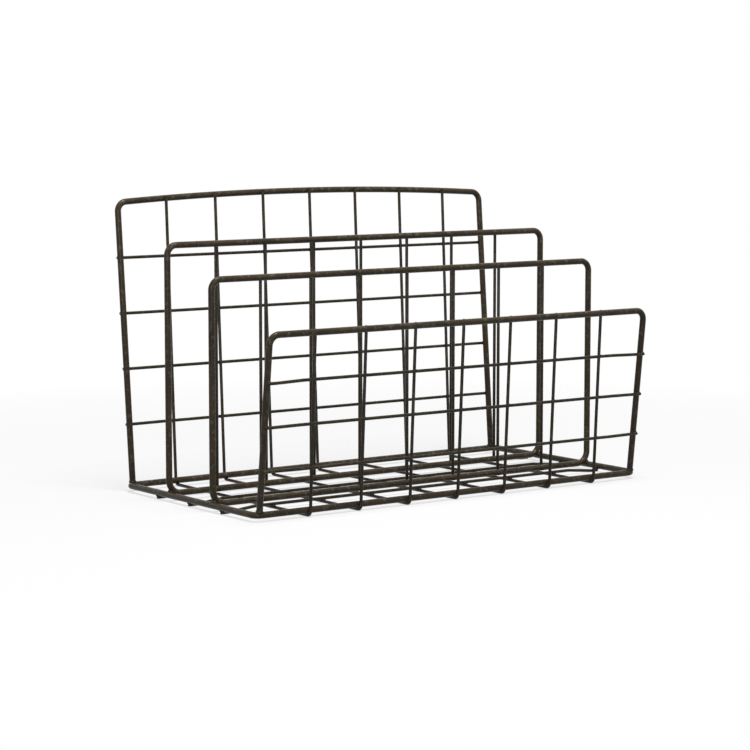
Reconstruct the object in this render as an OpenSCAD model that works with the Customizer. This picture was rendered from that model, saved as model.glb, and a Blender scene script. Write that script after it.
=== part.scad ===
// Desktop book organizer: a welded wire rack with three upright slots.
// Heavy wire makes the base rim, the leaning back and front frames and the two dividers.
// Thin wire makes the square mesh of the back, base and front, and the divider bars.
// X runs along the length, the front faces -Y, Z is up and Z = 0 is the table.

/* [Overall] */
// Length of the base rim, outside to outside
rack_length = 240; // [180:1:320]
// Depth of the base rim, outside to outside
rack_depth = 120; // [100:1:180]
// Height of the crown of the back frame above the table
rack_height = 151; // [125:1:220]

/* [Wire] */
// Diameter of the heavy frame wire, coating included
frame_d = 3.2; // [2.4:0.1:4]
// Diameter of the thin mesh wire, coating included
mesh_d = 1.6; // [1.2:0.1:2.2]

/* [Base rim] */
// Bend radius of the rim corners, on the wire's centre line
rim_bend = 4; // [4:0.5:12]
// Where the frames stand on a rim corner: degrees round the bend from the side bar
foot_angle = 65; // [40:1:75]

/* [Back and front frames] */
// Lean of the back frame, degrees from upright
back_lean = 4.9; // [3:0.1:10]
// Radius of the arched top rail of the back frame
back_arch = 1860; // [900:10:4000]
// Lean of the front frame, degrees from upright
front_lean = 6.4; // [4:0.1:12]
// Height of the front frame's top rail above the table
front_height = 90.6; // [70:0.1:120]
// Bend radius of the upper corners of the frames and dividers, on the wire's centre line
corner_bend = 5; // [3:0.5:8]
// How far the coped feet of the frames sink into the rim at the weld
weld_sink = 0.5; // [0.2:0.1:0.8]

/* [Dividers] */
// Height of the rear divider's top rail above the table
rear_divider_height = 128.2; // [100:0.1:150]
// Height of the front divider's top rail above the table
front_divider_height = 113.7; // [80:0.1:140]
// Spacing from the rim's back rail to the rear divider, as a share of the rim's depth
rear_slot_share = 0.338; // [0.3:0.001:0.38]
// Spacing between the two dividers, as a share of the rim's depth
middle_slot_share = 0.3425; // [0.3:0.0005:0.38]
// Bend radius of the lower corners of the dividers, on the wire's centre line
seat_bend = 6.5; // [4:0.5:10]

/* [Mesh] */
// Number of mesh wires, and of upright bars in each divider
mesh_wires = 7; // [5:1:9]
// Number of cross wires on the back
back_cross_wires = 4; // [2:1:5]
// Heights of the bottom and top rows of openings in the back
back_bottom_row = 30.5; // [20:0.5:40]
back_top_row = 31.5; // [20:0.5:40]
// Number of cross wires on the front
front_cross_wires = 3; // [1:1:4]
// Height of the top row of openings in the front
front_top_row = 22.5; // [15:0.5:35]
// Number of cross wires on the base
base_cross_wires = 3; // [1:1:4]
// How far a cross wire runs past the centre of the bar that it is welded to
lap_over = 0.8; // [0.4:0.1:1.5]
// Bend radius of the small step in the last bay at each end of a cross wire
step_bend = 12; // [6:0.5:16]
// How far the tips of the mesh wires and bars stop below the top of their rail
tip_drop = 0.2; // [0.2:0.1:1]

/* [Hidden] */
$fn = 48;
// Powder coat colour, a dark brown black
coat = [0.2, 0.175, 0.145];
// Modelling allowance, not on the real wire: the extra radius of a bend, and how far a straight
// reaches into it, so that the two fuse into one solid
bend_swell = 0.02;
bend_lap = 0.05;
// A cross wire with less than this to step over is left straight
least_step = 0.2;

// Centre distance of a thin wire welded to a heavy one, or bent round it
weld_gap = (frame_d + mesh_d) / 2;
wrap_gap = weld_gap + bend_swell;
// Centre line sizes of the rim, and the height of its centre above the table
rim_w = rack_length - frame_d;
rim_t = rack_depth - frame_d;
rim_z = wrap_gap + mesh_d / 2 + bend_swell;
mesh_pitch = rim_w / (mesh_wires + 1);
// Length of the slanting straight in a cross wire's step, half a bay of the mesh
step_run = mesh_pitch / 2;

// Places of the frame feet on the rim corners
foot_x = rim_w / 2 - rim_bend * (1 - cos(foot_angle));
foot_inset = rim_bend * (1 - sin(foot_angle));
foot_start = frame_d / 2 - weld_sink;

// Rise of each frame's top rail above the rim, centre to centre, and its length up the slope
back_rise = rack_height - frame_d / 2 - rim_z;
front_rise = front_height - frame_d / 2 - rim_z;
back_slope = back_rise / cos(back_lean);
front_slope = front_rise / cos(front_lean);

// How far each frame reaches out past the rim rail below it, and the shift that centres the rack
back_reach = back_rise * tan(back_lean) - foot_inset;
front_reach = front_rise * tan(front_lean) - foot_inset;
centre_y = (front_reach - back_reach) / 2;
back_rail_y = centre_y + rim_t / 2;
front_rail_y = centre_y - rim_t / 2;

// Half the angle of the arched rail, and how far it drops at a distance x from the crown
arch_half = asin((foot_x - corner_bend) / (back_arch - corner_bend));
function arch_drop(x) = back_arch - sqrt(back_arch * back_arch - x * x);
function mesh_x(i) = (i - (mesh_wires + 1) / 2) * mesh_pitch;

// The lower corners of the divider loops rest on the rim's side bars
divider_gap = seat_bend + frame_d + bend_swell;
divider_z = rim_z + sqrt(divider_gap * divider_gap - seat_bend * seat_bend) - seat_bend;
rear_divider_y = back_rail_y - rear_slot_share * rim_t;
front_divider_y = rear_divider_y - middle_slot_share * rim_t;

// Points of a leaning face are [outward, up] from the centre of the rim rail below it.
// A leg of the mesh passes outside that rail and inside the frame's top rail.
function slope_dir(lean) = [sin(lean), cos(lean)];
function out_dir(lean) = [cos(lean), -sin(lean)];
function on_frame(lean, v) = [-foot_inset, 0] + v * slope_dir(lean);
function leg_lean(top) = atan2(top[0], top[1]) - asin((wrap_gap + weld_gap) / norm(top));
function on_leg(lean, s) = wrap_gap * out_dir(lean) + s * slope_dir(lean);

// Lowest point at which a leg meets the arched rail, so that no leg cuts into it
back_meet = on_frame(back_lean, back_slope - arch_drop(mesh_x(mesh_wires)));
front_meet = on_frame(front_lean, front_slope);
back_leg_lean = leg_lean(back_meet);
front_leg_lean = leg_lean(front_meet);
back_leg_span = on_frame(back_lean, back_slope) * slope_dir(back_leg_lean);
front_leg_span = front_meet * slope_dir(front_leg_lean);
tip_over = frame_d / 2 - tip_drop;

function numbered(name, count) = [for (i = [1 : count]) str(name, "_", i)];

// A wire bent step by step. It starts along +X, and each step is [feed, turn, bend radius]:
// a straight feed, then a turn in degrees, to the left (+Y) if positive. The lead is how far
// the first straight reaches back.
module bent_wire(d, steps, lead = 0, i = 0) {
    feed = steps[i][0];
    turn = steps[i][1];
    radius = steps[i][2];
    roll = turn < 0 ? 180 : 0;
    tail = turn == 0 ? 0 : bend_lap;
    translate([-lead, 0, 0]) rotate([0, 90, 0]) cylinder(d = d, h = lead + feed + tail);
    if (turn != 0) translate([feed, 0, 0]) rotate([roll, 0, 0]) translate([0, radius, 0]) {
        rotate([0, 0, -90]) rotate_extrude(angle = abs(turn)) wire_section(d + 2 * bend_swell, radius);
        if (i + 1 < len(steps))
            rotate([0, 0, abs(turn)]) translate([0, -radius, 0]) rotate([roll, 0, 0])
                bent_wire(d, steps, bend_lap, i + 1);
    }
}

module wire_section(d, radius) { translate([radius, 0]) circle(d = d); }

// A closed rectangular loop of heavy wire, centred on X, with the centre of its lower side on Y = 0
module wire_loop(w, h, lower, upper) {
    side = h - lower - upper;
    translate([lower - w / 2, 0, 0]) bent_wire(frame_d, [
        [w - 2 * lower, 90, lower], [side, 90, upper],
        [w - 2 * upper, 90, upper], [side, 90, lower]
    ], bend_lap);
}

// Stands a piece on a face: +Y outward and +Z up from the rim rail's centre
module on_back() { translate([0, back_rail_y, rim_z]) children(); }
module on_front() { translate([0, front_rail_y, rim_z]) mirror([0, 1, 0]) children(); }

// Draws a frame in the plane of its lean: X along the rack and Y up the slope from the feet
module in_frame(lean) { translate([0, -foot_inset, 0]) rotate([90 - lean, 0, 0]) children(); }
module at_right_foot() { translate([foot_x, foot_start, 0]) rotate([0, 0, 90]) children(); }

// A thin cross wire along X: its ends lie on Y = 0 and its middle is stepped over to Y = step.
// The turn is the one at which two bends and the straight between them give that step.
module cross_wire(half_span, step) {
    slant = norm([2 * step_bend, step_run]);
    turn = sign(step) * (acos((2 * step_bend - abs(step)) / slant) - atan2(step_run, 2 * step_bend));
    step_length = 2 * step_bend * sin(abs(turn)) + step_run * cos(turn);
    lap = lap_over + frame_d;
    middle = 2 * (half_span - frame_d - step_length);
    end = [lap, 0, 0];
    over = [[lap, turn, step_bend], [step_run, -turn, step_bend]];
    back = [[middle, -turn, step_bend], [step_run, turn, step_bend]];
    plain = [[2 * (half_span + lap_over), 0, 0]];
    stepped = abs(step) > least_step;
    translate([-half_span - lap_over, stepped ? 0 : max(step, 0), 0])
        bent_wire(mesh_d, stepped ? concat(over, back, [end]) : plain);
}

// A cross wire on the outer side of the legs of a leaning face, s up the legs from the rim.
// Its ends lap the outer side of the frame's side bars.
module face_cross_wire(lean, leg, s) {
    seat = on_leg(leg, s) + mesh_d * out_dir(leg) - [-foot_inset, 0];
    lap_at = on_frame(lean, seat * slope_dir(lean)) + weld_gap * out_dir(lean);
    translate([0, lap_at[0], lap_at[1]]) rotate([-lean, 0, 0])
        cross_wire(foot_x, seat * out_dir(lean) - weld_gap);
}

module divider_loop(y, height) {
    color(coat) translate([0, y, divider_z]) rotate([90, 0, 0])
        wire_loop(rim_w, height - frame_d / 2 - divider_z, seat_bend, corner_bend);
}

module divider_bar(y, height, i) {
    low = divider_z - tip_over;
    color(coat) translate([mesh_x(i), y + weld_gap, low])
        cylinder(d = mesh_d, h = height - tip_drop - low);
}

module base_rim() {
    color(coat) translate([0, back_rail_y, rim_z]) rotate([0, 0, 180])
        wire_loop(rim_w, rim_t, rim_bend, rim_bend);
}

module back_frame() {
    leg = back_slope - back_arch + (back_arch - corner_bend) * cos(arch_half);
    reach = arch_half + asin(bend_lap / back_arch);
    color(coat) difference() {
        on_back() in_frame(back_lean) {
            for (side = [0, 1]) mirror([side, 0, 0]) at_right_foot()
                bent_wire(frame_d, [[leg - foot_start, 90 - arch_half, corner_bend]]);
            translate([0, back_slope - back_arch, 0])
                rotate_extrude(angle = 2 * reach, start = 90 - reach) wire_section(frame_d, back_arch);
        }
        base_rim();
    }
}

module front_frame() {
    leg = front_slope - corner_bend - foot_start;
    corner = [2 * (foot_x - corner_bend), 90, corner_bend];
    color(coat) difference() {
        on_front() in_frame(front_lean) at_right_foot()
            bent_wire(frame_d, [[leg, 90, corner_bend], corner, [leg, 0, 0]]);
        base_rim();
    }
}

module rear_divider_loop() { divider_loop(rear_divider_y, rear_divider_height); }
module front_divider_loop() { divider_loop(front_divider_y, front_divider_height); }
module rear_divider_bar(i) { divider_bar(rear_divider_y, rear_divider_height, i); }
module front_divider_bar(i) { divider_bar(front_divider_y, front_divider_height, i); }

// One wire of the mesh: down the front, round under the rim, along the base and up the back
module mesh_wire(i) {
    front_leg = front_leg_span + tip_over;
    back_leg = back_leg_span - arch_drop(mesh_x(i)) + tip_over;
    tip = on_leg(front_leg_lean, front_leg);
    color(coat) translate([mesh_x(i), front_rail_y - tip[0], rim_z + tip[1]])
        rotate([90, 0, 90]) rotate([0, 0, front_leg_lean - 90])
            bent_wire(mesh_d, [
                [front_leg, 90 - front_leg_lean, wrap_gap],
                [rim_t, 90 - back_leg_lean, wrap_gap],
                [back_leg, 0, 0]
            ]);
}

module back_cross_wire(i) {
    row = (back_leg_span - back_bottom_row - back_top_row) / (back_cross_wires - 1);
    color(coat) on_back() face_cross_wire(back_lean, back_leg_lean, back_bottom_row + (i - 1) * row);
}

module front_cross_wire(i) {
    row = (front_leg_span - front_top_row) / front_cross_wires;
    color(coat) on_front() face_cross_wire(front_lean, front_leg_lean, i * row);
}

// A cross wire that lies on the mesh wires of the base and steps down to pass under the rim
module base_cross_wire(i) {
    row = rim_t / (base_cross_wires + 1);
    color(coat) translate([0, front_rail_y + i * row, rim_z - weld_gap]) rotate([90, 0, 0])
        cross_wire(rim_w / 2, mesh_d + weld_gap - wrap_gap);
}

base_rim();
back_frame();
rear_divider_loop();
front_divider_loop();
front_frame();
for (i = [1 : mesh_wires]) {
    mesh_wire(i);
    rear_divider_bar(i);
    front_divider_bar(i);
}
for (i = [1 : back_cross_wires])
    back_cross_wire(i);
for (i = [1 : front_cross_wires])
    front_cross_wire(i);
for (i = [1 : base_cross_wires])
    base_cross_wire(i);
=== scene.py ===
# %% [markdown]
# # A welded wire rack for books and mail
# The rack is bent from two gauges of steel wire, welded where the wires touch, and powder coated.
# Nothing on it moves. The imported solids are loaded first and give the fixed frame, in metres,
# with +X along the length, -Y to the front and +Z up. Each wire is then modelled again as a clean
# swept mesh, because a sweep has even quads, rounded cut ends and no seam where a bend begins.

# %% Load the frame
from math import acos, asin, atan2, ceil, copysign, cos, degrees, hypot, radians, sin, sqrt

import bmesh
import bpy
from mathutils import Matrix, Vector


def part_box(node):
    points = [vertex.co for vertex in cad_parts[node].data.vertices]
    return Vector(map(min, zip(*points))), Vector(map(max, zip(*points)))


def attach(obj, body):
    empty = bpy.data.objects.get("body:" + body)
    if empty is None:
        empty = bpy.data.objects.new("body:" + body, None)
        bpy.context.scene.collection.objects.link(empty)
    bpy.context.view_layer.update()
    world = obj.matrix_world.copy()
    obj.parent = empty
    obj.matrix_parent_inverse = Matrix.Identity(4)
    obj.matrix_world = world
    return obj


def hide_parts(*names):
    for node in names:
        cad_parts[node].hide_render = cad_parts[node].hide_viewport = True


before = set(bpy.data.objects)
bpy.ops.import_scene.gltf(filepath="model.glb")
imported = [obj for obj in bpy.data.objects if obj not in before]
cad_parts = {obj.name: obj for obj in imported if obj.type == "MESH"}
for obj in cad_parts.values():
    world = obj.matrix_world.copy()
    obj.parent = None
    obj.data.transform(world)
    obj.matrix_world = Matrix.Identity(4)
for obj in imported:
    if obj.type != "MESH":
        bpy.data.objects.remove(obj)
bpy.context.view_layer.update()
MM = 0.001
scene = bpy.context.scene
print("nodes in the frame:", len(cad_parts))

# %% [markdown]
# ## Camera
# The view is from the front left and slightly downwards. A long lens far away keeps the uprights
# nearly parallel. The camera is aimed a little below the middle of the rack, so it needs no shift.

# %% Camera
VIEW_AZIMUTH = radians(-36.1)
VIEW_ELEVATION = radians(6.3)
VIEW_DISTANCE = 1.3
AIM = Vector((-0.0047, 0.0010, 0.0570))
SENSOR_MM = 36.0
IMAGE_PX = 750
FOCAL_PX = 2536

towards_camera = Vector((
    sin(VIEW_AZIMUTH) * cos(VIEW_ELEVATION),
    -cos(VIEW_AZIMUTH) * cos(VIEW_ELEVATION),
    sin(VIEW_ELEVATION),
))
camera_data = bpy.data.cameras.new("camera")
camera_data.sensor_width = SENSOR_MM
camera_data.lens = FOCAL_PX * SENSOR_MM / IMAGE_PX
camera = bpy.data.objects.new("camera", camera_data)
camera.location = AIM + towards_camera * VIEW_DISTANCE
camera.rotation_euler = towards_camera.to_track_quat("Z", "Y").to_euler()
scene.collection.objects.link(camera)
scene.camera = camera
print(f"lens {camera_data.lens:.0f} mm")

# %% [markdown]
# ## Light and floor
# A dark wire on white shows its roundness by a pale top and a dark underside. So a lamp overhead
# does most of the work, a low lamp near the camera draws a gleam down the uprights, and the
# surround is weak, though it looks white to the camera and in reflections. The floor throws little
# light back up. Most of the white that is seen on it is even, so that the shadow stays faint. It
# fades out with distance, so that no horizon shows, and from below it is clear, so that the
# underside of the rack can be looked at.

# %% Surround
scene.view_settings.view_transform = "Standard"
AMBIENT = 0.04


def seen_rays(nodes, links):
    """A mask of the rays that see the background: the camera's, and those of gloss and glass."""
    rays = nodes.new("ShaderNodeLightPath")
    mask = rays.outputs["Is Camera Ray"]
    for kind in ("Is Glossy Ray", "Is Transmission Ray"):
        either = nodes.new("ShaderNodeMath")
        either.operation = "MAXIMUM"
        links.new(mask, either.inputs[0])
        links.new(rays.outputs[kind], either.inputs[1])
        mask = either.outputs[0]
    return mask


world = bpy.data.worlds.new("surround")
scene.world = world
world.use_nodes = True
nodes, links = world.node_tree.nodes, world.node_tree.links
nodes.clear()
ambient = nodes.new("ShaderNodeBackground")
ambient.inputs["Color"].default_value = (1, 1, 1, 1)
ambient.inputs["Strength"].default_value = AMBIENT
white = nodes.new("ShaderNodeBackground")
white.inputs["Color"].default_value = (1, 1, 1, 1)
white.inputs["Strength"].default_value = 1.0
surround = nodes.new("ShaderNodeMixShader")
links.new(seen_rays(nodes, links), surround.inputs["Fac"])
links.new(ambient.outputs[0], surround.inputs[1])
links.new(white.outputs[0], surround.inputs[2])
sky = nodes.new("ShaderNodeOutputWorld")
links.new(surround.outputs[0], sky.inputs["Surface"])
print("surround strength", AMBIENT)


# %% Lamps
def soft_lamp(name, place, size, watts):
    lamp = bpy.data.lights.new(name, "AREA")
    lamp.size = size
    lamp.energy = watts
    holder = bpy.data.objects.new(name, lamp)
    holder.location = place
    holder.rotation_euler = (Vector(place) - AIM).to_track_quat("Z", "Y").to_euler()
    scene.collection.objects.link(holder)
    return holder


lamps = [
    soft_lamp("side_softbox", (-0.80, -0.86, 0.28), size=0.3, watts=3.3),
    soft_lamp("top_softbox", (-0.05, -0.30, 1.25), size=0.5, watts=15.5),
]
print("lamps:", [lamp.name for lamp in lamps])

# %% Floor
FLOOR_RADIUS = 2.0
FLOOR_SIDES = 96
FADE_FROM, FADE_TO = 0.16, 0.50
FLOOR_WHITE = (0.96, 0.96, 0.96, 1)
FLOOR_EVEN = 0.7
FLOOR_BOUNCE = (0.10, 0.10, 0.10, 1)

bm = bmesh.new()
bmesh.ops.create_circle(bm, cap_ends=True, segments=FLOOR_SIDES, radius=FLOOR_RADIUS)
floor_mesh = bpy.data.meshes.new("floor")
bm.to_mesh(floor_mesh)
bm.free()
floor = bpy.data.objects.new("floor", floor_mesh)
scene.collection.objects.link(floor)

floor_paper = bpy.data.materials.new("floor_paper")
floor_paper.use_nodes = True
nodes, links = floor_paper.node_tree.nodes, floor_paper.node_tree.links
nodes.clear()
where = nodes.new("ShaderNodeTexCoord")
reach = nodes.new("ShaderNodeVectorMath")
reach.operation = "LENGTH"
links.new(where.outputs["Object"], reach.inputs[0])
fade = nodes.new("ShaderNodeMapRange")
fade.inputs["From Min"].default_value = FADE_FROM
fade.inputs["From Max"].default_value = FADE_TO
links.new(reach.outputs["Value"], fade.inputs["Value"])
bounce = nodes.new("ShaderNodeBsdfDiffuse")
bounce.inputs["Color"].default_value = FLOOR_BOUNCE
shaded = nodes.new("ShaderNodeBsdfDiffuse")
shaded.inputs["Color"].default_value = FLOOR_WHITE
even = nodes.new("ShaderNodeEmission")
even.inputs["Color"].default_value = (1, 1, 1, 1)
even.inputs["Strength"].default_value = 1.0
seen_white = nodes.new("ShaderNodeMixShader")
seen_white.inputs["Fac"].default_value = FLOOR_EVEN
links.new(shaded.outputs[0], seen_white.inputs[1])
links.new(even.outputs[0], seen_white.inputs[2])
paper = nodes.new("ShaderNodeMixShader")
links.new(seen_rays(nodes, links), paper.inputs["Fac"])
links.new(bounce.outputs[0], paper.inputs[1])
links.new(seen_white.outputs[0], paper.inputs[2])
gone = nodes.new("ShaderNodeBsdfTransparent")
shell = nodes.new("ShaderNodeNewGeometry")
clear = nodes.new("ShaderNodeMath")
clear.operation = "MAXIMUM"
links.new(fade.outputs["Result"], clear.inputs[0])
links.new(shell.outputs["Backfacing"], clear.inputs[1])
blend = nodes.new("ShaderNodeMixShader")
links.new(clear.outputs[0], blend.inputs["Fac"])
links.new(paper.outputs[0], blend.inputs[1])
links.new(gone.outputs[0], blend.inputs[2])
floor_out = nodes.new("ShaderNodeOutputMaterial")
links.new(blend.outputs[0], floor_out.inputs["Surface"])
floor_mesh.materials.append(floor_paper)
print("floor radius", FLOOR_RADIUS)

# %% [markdown]
# ## The coat
# Powder coat is a baked plastic skin. Up close it has a fine grain and its gloss wanders a little.
# Here its brown black drifts between a neutral and a warmer tone, with paler scuffs. All of it
# comes from one node group, so that heavy wire, thin wire and welds share a finish and differ only
# in values.

# %% Powder coat group
coat_group = bpy.data.node_groups.new("powder_coat", "ShaderNodeTree")
socket = coat_group.interface.new_socket
socket("Neutral", in_out="INPUT", socket_type="NodeSocketColor")
socket("Warm", in_out="INPUT", socket_type="NodeSocketColor")
socket("Scuff", in_out="INPUT", socket_type="NodeSocketColor")
socket("Grain Scale", in_out="INPUT", socket_type="NodeSocketFloat")
socket("Color", in_out="OUTPUT", socket_type="NodeSocketColor")
socket("Roughness", in_out="OUTPUT", socket_type="NodeSocketFloat")
socket("Height", in_out="OUTPUT", socket_type="NodeSocketFloat")
nodes, links = coat_group.nodes, coat_group.links
given = nodes.new("NodeGroupInput")
result = nodes.new("NodeGroupOutput")
where = nodes.new("ShaderNodeTexCoord")
DRIFT_SCALE, SCUFF_SCALE, GLOSS_SCALE = 60.0, 420.0, 260.0
DRIFT_BAND, SCUFF_BAND, GLOSS_BAND = (0.36, 0.64), (0.54, 0.66), (0.3, 0.7)
MASK, ROUGHNESS = (0, 1), (0.17, 0.36)


def coat_noise(scale, detail):
    noise = nodes.new("ShaderNodeTexNoise")
    noise.inputs["Scale"].default_value = scale
    noise.inputs["Detail"].default_value = detail
    links.new(where.outputs["Object"], noise.inputs["Vector"])
    return noise


def stretched(noise, band, onto):
    """Most of a noise lies near a half: this spreads a narrow band of it over another range."""
    spread = nodes.new("ShaderNodeMapRange")
    for name, value in zip(("From Min", "From Max", "To Min", "To Max"), band + onto):
        spread.inputs[name].default_value = value
    links.new(noise.outputs["Fac"], spread.inputs["Value"])
    return spread.outputs["Result"]


def toned(mask, under, over):
    mixed = nodes.new("ShaderNodeMix")
    mixed.data_type = "RGBA"
    colours = [put for put in mixed.inputs if put.type == "RGBA"]
    links.new(mask, mixed.inputs["Factor"])
    links.new(under, colours[0])
    links.new(over, colours[1])
    return next(put for put in mixed.outputs if put.type == "RGBA")


drift = stretched(coat_noise(DRIFT_SCALE, detail=3), DRIFT_BAND, MASK)
tone = toned(drift, given.outputs["Neutral"], given.outputs["Warm"])
scuffs = stretched(coat_noise(SCUFF_SCALE, detail=4), SCUFF_BAND, MASK)
links.new(toned(scuffs, tone, given.outputs["Scuff"]), result.inputs["Color"])
rough = stretched(coat_noise(GLOSS_SCALE, detail=2), GLOSS_BAND, ROUGHNESS)
links.new(rough, result.inputs["Roughness"])
grain = coat_noise(scale=1, detail=3)
links.new(given.outputs["Grain Scale"], grain.inputs["Scale"])
links.new(grain.outputs["Fac"], result.inputs["Height"])
print("powder coat sockets:", [item.name for item in coat_group.interface.items_tree])


# %% Coats
SPECULAR = 0.16
GRAIN_DEPTH = 0.03 * MM
SCUFF_LIFT = 3.2


def scuffed(neutral):
    """The colour of a scuff: paler than the coat and half as strong in hue."""
    return [SCUFF_LIFT * (part + neutral[1]) / 2 for part in neutral]


def powder_coat(name, neutral, warm, grain_scale, grain_strength):
    coat = bpy.data.materials.new(name)
    coat.use_nodes = True
    nodes, links = coat.node_tree.nodes, coat.node_tree.links
    skin = nodes["Principled BSDF"]
    skin.inputs["Specular IOR Level"].default_value = SPECULAR
    group = nodes.new("ShaderNodeGroup")
    group.node_tree = coat_group
    group.inputs["Neutral"].default_value = (*neutral, 1)
    group.inputs["Warm"].default_value = (*warm, 1)
    group.inputs["Scuff"].default_value = (*scuffed(neutral), 1)
    group.inputs["Grain Scale"].default_value = grain_scale
    bump = nodes.new("ShaderNodeBump")
    bump.inputs["Strength"].default_value = grain_strength
    bump.inputs["Distance"].default_value = GRAIN_DEPTH
    links.new(group.outputs["Color"], skin.inputs["Base Color"])
    links.new(group.outputs["Roughness"], skin.inputs["Roughness"])
    links.new(group.outputs["Height"], bump.inputs["Height"])
    links.new(bump.outputs["Normal"], skin.inputs["Normal"])
    return coat


frame_coat = powder_coat(
    "frame_coat", neutral=(0.036, 0.027, 0.015), warm=(0.064, 0.043, 0.022),
    grain_scale=1600, grain_strength=0.9,
)
mesh_coat = powder_coat(
    "mesh_coat", neutral=(0.023, 0.017, 0.009), warm=(0.040, 0.027, 0.013),
    grain_scale=2000, grain_strength=0.8,
)
weld_coat = powder_coat(
    "weld_coat", neutral=(0.025, 0.019, 0.011), warm=(0.039, 0.027, 0.014),
    grain_scale=1100, grain_strength=1.0,
)
print("coats:", frame_coat.name, mesh_coat.name, weld_coat.name)

# %% [markdown]
# ## Bending wire
# A wire bender feeds a straight length, turns it round a pin, and feeds again. The helper does the
# same to a ring of vertices: extrude is the feed and spin is the bend. A curve with a bevel would
# be quicker, but its ends stay square and its bends only come close to a circle. Here cut ends are
# capped, and their edge is rounded with a bevel, as the coat rounds it on the real wire.

# %% Wire bender
HEAVY, THIN = 3.2 * MM, 1.6 * MM
HEAVY_SIDES, THIN_SIDES = 24, 16
BEND_FACET = 7.5  # degrees
LEAST_FACETS = 3
LONGEST_FACET = 6 * MM
END_ROUND = 0.3  # of the wire's diameter
END_FACETS = 3
MERGE = 0.001 * MM


def ring_parts(ring):
    return list({corner for edge in ring for corner in edge.verts}) + list(ring)


def feed_wire(bm, ring, run):
    made = bmesh.ops.extrude_edge_only(bm, edges=ring)["geom"]
    moved = {part for part in made if isinstance(part, bmesh.types.BMVert)}
    bmesh.ops.translate(bm, verts=list(moved), vec=run)
    edges = (part for part in made if isinstance(part, bmesh.types.BMEdge))
    return [edge for edge in edges if moved.issuperset(edge.verts)]


def round_end(bm, ring, diameter):
    bmesh.ops.contextual_create(bm, geom=ring)
    bmesh.ops.bevel(
        bm, geom=ring, offset=END_ROUND * diameter, offset_type="OFFSET", affect="EDGES",
        segments=END_FACETS, profile=0.5, material=-1,
    )


def bent_wire(diameter, steps, closed=False):
    """A wire from the origin along +X. Each step is (feed, turn in degrees, bend radius)."""
    bm = bmesh.new()
    sides = HEAVY_SIDES if diameter == HEAVY else THIN_SIDES
    upright = Matrix.Rotation(radians(90), 4, "Y")
    bmesh.ops.create_circle(bm, segments=sides, radius=diameter / 2, matrix=upright)
    first = ring = list(bm.edges)
    at, heading = Vector((0, 0, 0)), Vector((1, 0, 0))
    for feed, turn, radius in steps:
        if feed > 0:
            ring = feed_wire(bm, ring, heading * feed)
            at = at + heading * feed
        if turn:
            side = copysign(1, turn)
            pin = at + Vector((-heading.y, heading.x, 0)) * side * radius
            sweep = radians(abs(turn))
            by_angle, by_length = abs(turn) / BEND_FACET, sweep * radius / LONGEST_FACET
            facets = max(LEAST_FACETS, ceil(by_angle), ceil(by_length))
            spun = bmesh.ops.spin(
                bm, geom=ring_parts(ring), cent=pin, axis=(0, 0, side), angle=sweep, steps=facets,
            )
            ring = [part for part in spun["geom_last"] if isinstance(part, bmesh.types.BMEdge)]
            swing = Matrix.Rotation(radians(turn), 3, "Z")
            at, heading = pin + swing @ (at - pin), swing @ heading
    if not closed:
        round_end(bm, first, diameter)
        round_end(bm, ring, diameter)
    return bm


print("facets to a right angle:", ceil(90 / BEND_FACET))

# %% [markdown]
# A finished wire is set in its place: where it starts, which way it heads and which way is left.
# The place goes into the mesh, so that the coat's pattern stays put. Each wire stands for one
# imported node. Its box is compared with the node's, so that a slip in the numbers shows at once.

# %% Setting a wire in place
misfits = {}


def set_wire(bm, node, start, heading, left, coat):
    heading, left = Vector(heading).normalized(), Vector(left).normalized()
    turn = Matrix((heading, left, heading.cross(left))).transposed().to_4x4()
    bmesh.ops.transform(bm, matrix=Matrix.Translation(start) @ turn, verts=bm.verts)
    piece = keep_piece(bm, f"{node}_coated", coat)
    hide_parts(node)
    low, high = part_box(node)
    for axis in range(3):
        span = [corner.co[axis] for corner in piece.data.vertices]
        off = max(abs(min(span) - low[axis]), abs(max(span) - high[axis]))
        misfits[node] = max(misfits.get(node, 0), off)
    return piece


def keep_piece(bm, name, coat):
    bmesh.ops.remove_doubles(bm, verts=bm.verts, dist=MERGE)
    bmesh.ops.recalc_face_normals(bm, faces=bm.faces)
    for face in bm.faces:
        face.smooth = True
    mesh = bpy.data.meshes.new(name)
    bm.to_mesh(mesh)
    bm.free()
    mesh.materials.append(coat)
    piece = bpy.data.objects.new(name, mesh)
    scene.collection.objects.link(piece)
    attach(piece, "root")
    return piece


def set_frame_wire(bm, node, start, heading, left):
    return set_wire(bm, node, start, heading, left, frame_coat)


def set_mesh_wire(bm, node, start, heading, left):
    return set_wire(bm, node, start, heading, left, mesh_coat)


print("pieces so far:", len(misfits))

# %% [markdown]
# ## Base rim
# One heavy wire bent into a closed rectangle carries all the rest. The thin mesh wires go round
# under it, so it sits their thickness above the table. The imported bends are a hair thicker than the
# straights, which is an allowance for fusing solids: it counts in the spacing, not in the mesh.

# %% Base rim
LENGTH, DEPTH, HEIGHT = 240 * MM, 120 * MM, 151 * MM
RIM_BEND = 4 * MM
ALLOWANCE = 0.02 * MM
weld_gap = (HEAVY + THIN) / 2
wrap_gap = weld_gap + ALLOWANCE
rim_w, rim_t = LENGTH - HEAVY, DEPTH - HEAVY
rim_z = wrap_gap + THIN / 2 + ALLOWANCE
rim_low, rim_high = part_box("base_rim")
middle_y = (rim_low.y + rim_high.y) / 2
back_y, front_y = middle_y + rim_t / 2, middle_y - rim_t / 2
ALONG, BACKWARD, UP = Vector((1, 0, 0)), Vector((0, 1, 0)), Vector((0, 0, 1))


def closed_loop(w, h, lower, upper):
    """A rectangle w by h on its centre line, bent to one radius below and another above."""
    side = h - lower - upper
    return bent_wire(HEAVY, [
        (w - 2 * lower, 90, lower), (side, 90, upper),
        (w - 2 * upper, 90, upper), (side, 90, lower),
    ], closed=True)


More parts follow.
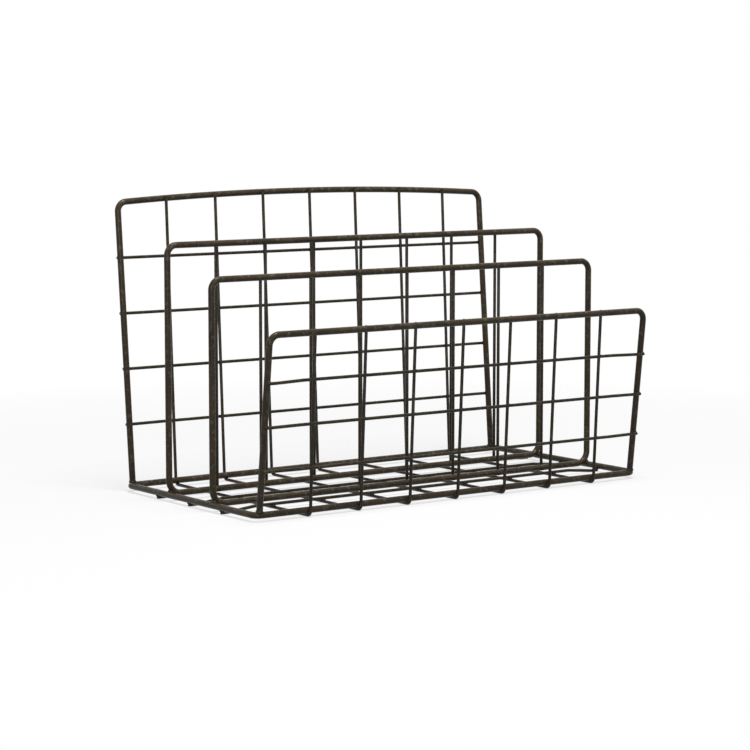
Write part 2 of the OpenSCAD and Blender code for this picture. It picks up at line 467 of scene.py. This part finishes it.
rim = closed_loop(rim_w, rim_t, RIM_BEND, RIM_BEND)
set_frame_wire(rim, "base_rim", (RIM_BEND - rim_w / 2, front_y, rim_z), ALONG, BACKWARD)
print(f"base rim off its node by {misfits['base_rim'] / MM:.3f} mm")

# %% [markdown]
# ## Dividers
# Each divider is a closed upright loop of the heavy wire whose lower corners sit on the rim's side
# bars, with thin bars welded up its rear face.

# %% Divider loops and bars
CORNER_BEND, SEAT_BEND = 5 * MM, 6.5 * MM
TIP_DROP = 0.2 * MM
MESH_WIRES = 7
mesh_pitch = rim_w / (MESH_WIRES + 1)
mesh_x = [(i - (MESH_WIRES + 1) / 2) * mesh_pitch for i in range(1, MESH_WIRES + 1)]
tip_over = HEAVY / 2 - TIP_DROP
seat_gap = SEAT_BEND + HEAVY + ALLOWANCE
divider_z = rim_z + sqrt(seat_gap**2 - SEAT_BEND**2) - SEAT_BEND
DIVIDER_HEIGHTS = {"rear": 128.2 * MM, "front": 113.7 * MM}
divider_y = {}

for name, height in DIVIDER_HEIGHTS.items():
    node = f"{name}_divider_loop"
    low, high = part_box(node)
    y = divider_y[name] = (low.y + high.y) / 2
    loop = closed_loop(rim_w, height - HEAVY / 2 - divider_z, SEAT_BEND, CORNER_BEND)
    set_frame_wire(loop, node, (SEAT_BEND - rim_w / 2, y, divider_z), ALONG, UP)
    foot = divider_z - tip_over
    for i, x in enumerate(mesh_x, 1):
        bar = bent_wire(THIN, [(height - TIP_DROP - foot, 0, 0)])
        set_mesh_wire(bar, f"{name}_divider_bar_{i}", (x, y + weld_gap, foot), UP, ALONG)
print("dividers at y =", {name: round(y / MM, 2) for name, y in divider_y.items()}, "mm")

# %% [markdown]
# ## Leaning frames
# The front and back frames stand on the rim's corner bends and lean outwards. The front one has a
# straight top rail. The back one's rail is a very flat arch, which is simply one more bend with a
# long radius. Their feet start on the rim's centre line, where the rim and a weld hide the cut.

# %% Front and back frames
FOOT_ANGLE = radians(65)
FRONT_HEIGHT = 90.6 * MM
FRONT_LEAN, BACK_LEAN = radians(6.4), radians(4.9)
BACK_ARCH = 1860 * MM
foot_x = rim_w / 2 - RIM_BEND * (1 - cos(FOOT_ANGLE))
foot_inset = RIM_BEND * (1 - sin(FOOT_ANGLE))
front_slope = (FRONT_HEIGHT - HEAVY / 2 - rim_z) / cos(FRONT_LEAN)
back_slope = (HEIGHT - HEAVY / 2 - rim_z) / cos(BACK_LEAN)


def sloping(outward, lean):
    return outward * sin(lean) + UP * cos(lean)


leg = front_slope - CORNER_BEND
rail = (2 * (foot_x - CORNER_BEND), 90, CORNER_BEND)
front_bm = bent_wire(HEAVY, [(leg, 90, CORNER_BEND), rail, (leg, 0, 0)])
front_foot = Vector((foot_x, front_y + foot_inset, rim_z))
set_frame_wire(front_bm, "front_frame", front_foot, sloping(-BACKWARD, FRONT_LEAN), -ALONG)

arch_half = asin((foot_x - CORNER_BEND) / (BACK_ARCH - CORNER_BEND))
leg = back_slope - BACK_ARCH + (BACK_ARCH - CORNER_BEND) * cos(arch_half)
shoulder = 90 - degrees(arch_half)
arch = (0, 2 * degrees(arch_half), BACK_ARCH)
back_bm = bent_wire(HEAVY, [
    (leg, shoulder, CORNER_BEND), arch, (0, shoulder, CORNER_BEND), (leg, 0, 0),
])
back_foot = Vector((foot_x, back_y - foot_inset, rim_z))
set_frame_wire(back_bm, "back_frame", back_foot, sloping(BACKWARD, BACK_LEAN), -ALONG)
print(f"the feet reach {misfits['back_frame'] / MM:.2f} mm further into the rim than as packed")

# %% [markdown]
# ## Mesh wires
# Each thin wire runs down the front, round under the rim, along the base and up the back in one
# piece. Its legs pass outside the rim and inside the top rails, which sets how far they lean: less
# than the frames do. The same few lines serve both faces, seen as outward and up from the rim rail.

# %% Points on a leaning face
def arch_drop(x):
    return BACK_ARCH - sqrt(BACK_ARCH**2 - x * x)


def on_frame(lean, v):
    return Vector((v * sin(lean) - foot_inset, v * cos(lean)))


def leg_lean(top):
    return atan2(top.x, top.y) - asin((wrap_gap + weld_gap) / top.length)


def slope_dir(lean):
    return Vector((sin(lean), cos(lean)))


def out_dir(lean):
    return Vector((cos(lean), -sin(lean)))


def on_leg(lean, s):
    return out_dir(lean) * wrap_gap + slope_dir(lean) * s


front_leg_lean = leg_lean(on_frame(FRONT_LEAN, front_slope))
back_leg_lean = leg_lean(on_frame(BACK_LEAN, back_slope - arch_drop(mesh_x[-1])))
front_leg_span = on_frame(FRONT_LEAN, front_slope).dot(slope_dir(front_leg_lean))
back_leg_span = on_frame(BACK_LEAN, back_slope).dot(slope_dir(back_leg_lean))
print(f"legs lean {degrees(front_leg_lean):.2f} and {degrees(back_leg_lean):.2f} degrees")

# %% Mesh wires
front_leg = front_leg_span + tip_over
tip = on_leg(front_leg_lean, front_leg)

for i, x in enumerate(mesh_x, 1):
    wire = bent_wire(THIN, [
        (front_leg, 90 - degrees(front_leg_lean), wrap_gap),
        (rim_t, 90 - degrees(back_leg_lean), wrap_gap),
        (back_leg_span - arch_drop(x) + tip_over, 0, 0),
    ])
    inward = BACKWARD * cos(front_leg_lean) + UP * sin(front_leg_lean)
    set_mesh_wire(wire, f"mesh_wire_{i}", (x, front_y - tip.x, rim_z + tip.y),
                  -sloping(-BACKWARD, front_leg_lean), inward)
print("mesh wires at x =", [round(x / MM, 1) for x in mesh_x], "mm")

# %% [markdown]
# ## Cross wires
# The cross wires lie on the outer side of the legs, but their ends lap the frame's side bars, which
# lean more. So each one steps over by a millimetre or two in its last bay, with two gentle opposite
# bends, unless the two already line up. On the base they lie on the mesh wires and step down to
# pass under the rim.

# %% Cross wire with its steps
STEP_BEND = 12 * MM
LAP_OVER = 0.8 * MM
LEAST_STEP = 0.2 * MM
step_run = mesh_pitch / 2


def cross_wire(half_span, step):
    if abs(step) <= LEAST_STEP:
        return bent_wire(THIN, [(2 * (half_span + LAP_OVER), 0, 0)])
    slant = hypot(2 * STEP_BEND, step_run)
    turn = acos((2 * STEP_BEND - abs(step)) / slant) - atan2(step_run, 2 * STEP_BEND)
    length = 2 * STEP_BEND * sin(turn) + step_run * cos(turn)
    turn = degrees(turn) * copysign(1, step)
    lap = LAP_OVER + HEAVY
    middle = 2 * (half_span - HEAVY - length)
    return bent_wire(THIN, [
        (lap, turn, STEP_BEND), (step_run, -turn, STEP_BEND),
        (middle, -turn, STEP_BEND), (step_run, turn, STEP_BEND), (lap, 0, 0),
    ])


print(f"a step takes about {step_run / MM:.1f} mm of the wire")

# %% Cross wires of the leaning faces
BACK_WIRES, FRONT_WIRES = 4, 3
BACK_BOTTOM_ROW, BACK_TOP_ROW = 30.5 * MM, 31.5 * MM
FRONT_TOP_ROW = 22.5 * MM


def even_rows(first, last, count):
    return [first + k * (last - first) / (count - 1) for k in range(count)]


def cross_seat(leg_at, s):
    """Where a cross wire lies on the legs, measured from the feet of the leaning frame."""
    return on_leg(leg_at, s) + out_dir(leg_at) * THIN + Vector((foot_inset, 0))


# Each face: its outward direction, the rim rail below it, the leans, and the rows up its legs
back_rows = even_rows(BACK_BOTTOM_ROW, back_leg_span - BACK_TOP_ROW, BACK_WIRES)
front_last = front_leg_span - FRONT_TOP_ROW
front_rows = even_rows(front_last / FRONT_WIRES, front_last, FRONT_WIRES)
faces = {
    "back": (BACKWARD, back_y, BACK_LEAN, back_leg_lean, back_rows),
    "front": (-BACKWARD, front_y, FRONT_LEAN, front_leg_lean, front_rows),
}
for name, (outward, rail_y, lean, leg_at, rows) in faces.items():
    for k, s in enumerate(rows, 1):
        seat = cross_seat(leg_at, s)
        lap_at = on_frame(lean, seat.dot(slope_dir(lean))) + out_dir(lean) * weld_gap
        step = seat.dot(out_dir(lean)) - weld_gap
        lift = max(step, 0) if abs(step) <= LEAST_STEP else 0
        side = outward * cos(lean) - UP * sin(lean)
        start = ALONG * (-foot_x - LAP_OVER) + BACKWARD * rail_y + UP * rim_z
        start = start + outward * lap_at.x + UP * lap_at.y + side * lift
        set_mesh_wire(cross_wire(foot_x, step), f"{name}_cross_wire_{k}", start, ALONG, side)
print("cross wires on the faces:", len(back_rows) + len(front_rows))

# %% Cross wires of the base
BASE_WIRES = 3
base_y = [front_y + k * rim_t / (BASE_WIRES + 1) for k in range(1, BASE_WIRES + 1)]
for k, y in enumerate(base_y, 1):
    wire = cross_wire(rim_w / 2, THIN + weld_gap - wrap_gap)
    start = (-rim_w / 2 - LAP_OVER, y, rim_z - weld_gap)
    set_mesh_wire(wire, f"base_cross_wire_{k}", start, ALONG, UP)
with_feet = ("back_frame", "front_frame")
off, node = max((off, node) for node, off in misfits.items() if node not in with_feet)
print("wires set:", len(misfits), f"and the worst misfit is {off / MM:.3f} mm, at", node)

# %% [markdown]
# ## Welds
# A spot weld presses two wires together, and the coat then bridges the crevice round the contact.
# A small pillow does for each: a cube, cut finer and smoothed, whose corners fill the four nooks of
# the crossing. It is shaped once and placed at every contact, so it has few faces.

# %% Weld pillow
PILLOW_CUTS = 2
PILLOW_SMOOTHS = 4
PILLOW_SOFTNESS = 0.5

bm = bmesh.new()
bmesh.ops.create_cube(bm, size=2.0)
bmesh.ops.subdivide_edges(bm, edges=bm.edges, cuts=PILLOW_CUTS, use_grid_fill=True)
for _ in range(PILLOW_SMOOTHS):
    bmesh.ops.smooth_vert(
        bm, verts=bm.verts, factor=PILLOW_SOFTNESS,
        use_axis_x=True, use_axis_y=True, use_axis_z=True,
    )
widest = max(abs(corner.co.x) for corner in bm.verts)
bmesh.ops.scale(bm, verts=bm.verts, vec=(1 / widest,) * 3)
pillow = bpy.data.meshes.new("weld_pillow")
bm.to_mesh(pillow)
bm.free()
print("pillow faces:", len(pillow.polygons))


# %% Weld helper
THIN_WELD = (0.95 * MM, 0.95 * MM, 0.5 * MM)
RAIL_WELD = (1.15 * MM, 1.1 * MM, 0.55 * MM)
SEAT_WELD = (1.7 * MM, 1.7 * MM, 0.7 * MM)
FOOT_WELD = (1.7 * MM, 1.7 * MM, 0.8 * MM)


def weld_pads(name, contacts):
    """One piece from contacts: place, direction of one wire, direction across it, half sizes."""
    bm = bmesh.new()
    for place, first, second, sizes in contacts:
        known = set(bm.verts)
        bm.from_mesh(pillow)
        first = first.normalized()
        normal = first.cross(second).normalized()
        axes = [first, normal.cross(first), normal]
        turn = Matrix([axis * size for axis, size in zip(axes, sizes)]).transposed().to_4x4()
        fresh = [corner for corner in bm.verts if corner not in known]
        bmesh.ops.transform(bm, matrix=Matrix.Translation(place) @ turn, verts=fresh)
    return keep_piece(bm, name, weld_coat)


print("weld sizes in mm:", [round(size / MM, 2) for size in THIN_WELD])

# %% Welds of the leaning faces
def in_face(outward, rail_y, x, point):
    return Vector((x, rail_y, rim_z)) + outward * point.x + UP * point.y


for name, (outward, rail_y, lean, leg_at, rows) in faces.items():
    climb = sloping(outward, leg_at)
    contacts = []
    for x in mesh_x:
        for s in rows:
            touch = on_leg(leg_at, s) + out_dir(leg_at) * THIN / 2
            contacts.append((in_face(outward, rail_y, x, touch), climb, ALONG, THIN_WELD))
        top = back_slope - arch_drop(x) if name == "back" else front_slope
        touch = on_frame(lean, top) - out_dir(leg_at) * HEAVY / 2
        contacts.append((in_face(outward, rail_y, x, touch), ALONG, climb, RAIL_WELD))
    for s in rows:
        up_bar = cross_seat(leg_at, s).dot(slope_dir(lean))
        touch = on_frame(lean, up_bar) + out_dir(lean) * HEAVY / 2
        for x in (-foot_x, foot_x):
            place = in_face(outward, rail_y, x, touch)
            contacts.append((place, sloping(outward, lean), ALONG, RAIL_WELD))
    weld_pads(f"{name}_mesh_welds", contacts)
    print(name, "face welds:", len(contacts))

# %% Welds of the base
contacts = []
for y in base_y:
    for x in mesh_x:
        contacts.append((Vector((x, y, rim_z - wrap_gap + THIN / 2)), ALONG, BACKWARD, THIN_WELD))
    for x in (-rim_w / 2, rim_w / 2):
        contacts.append((Vector((x, y, rim_z - HEAVY / 2)), BACKWARD, ALONG, RAIL_WELD))
for outward, rail_y in ((BACKWARD, back_y), (-BACKWARD, front_y)):
    below = (outward - UP).normalized()
    for x in mesh_x:
        place = Vector((x, rail_y, rim_z)) + below * HEAVY / 2
        contacts.append((place, ALONG, (outward + UP).normalized(), RAIL_WELD))
weld_pads("base_mesh_welds", contacts)
print("base welds:", len(contacts))

# %% Welds of the dividers
for name, height in DIVIDER_HEIGHTS.items():
    contacts = []
    for z in (divider_z, height - HEAVY / 2):
        for x in mesh_x:
            contacts.append((Vector((x, divider_y[name] + HEAVY / 2, z)), ALONG, UP, RAIL_WELD))
    for side in (-1, 1):
        pin = Vector((side * (rim_w / 2 - SEAT_BEND), divider_y[name], divider_z + SEAT_BEND))
        down = (Vector((side * rim_w / 2, divider_y[name], rim_z)) - pin).normalized()
        place = pin + down * (SEAT_BEND + HEAVY / 2)
        contacts.append((place, BACKWARD, down.cross(BACKWARD), SEAT_WELD))
    weld_pads(f"{name}_divider_welds", contacts)
    print(name, "divider welds:", len(contacts))

# %% Welds of the frame feet
contacts = []
for outward, foot, lean in ((BACKWARD, back_foot, BACK_LEAN), (-BACKWARD, front_foot, FRONT_LEAN)):
    climb = sloping(outward, lean)
    for side in (-1, 1):
        place = Vector((side * foot.x, foot.y, foot.z)) + climb * HEAVY / 2
        contacts.append((place, ALONG, climb.cross(ALONG), FOOT_WELD))
weld_pads("foot_welds", contacts)
print("foot welds:", len(contacts))
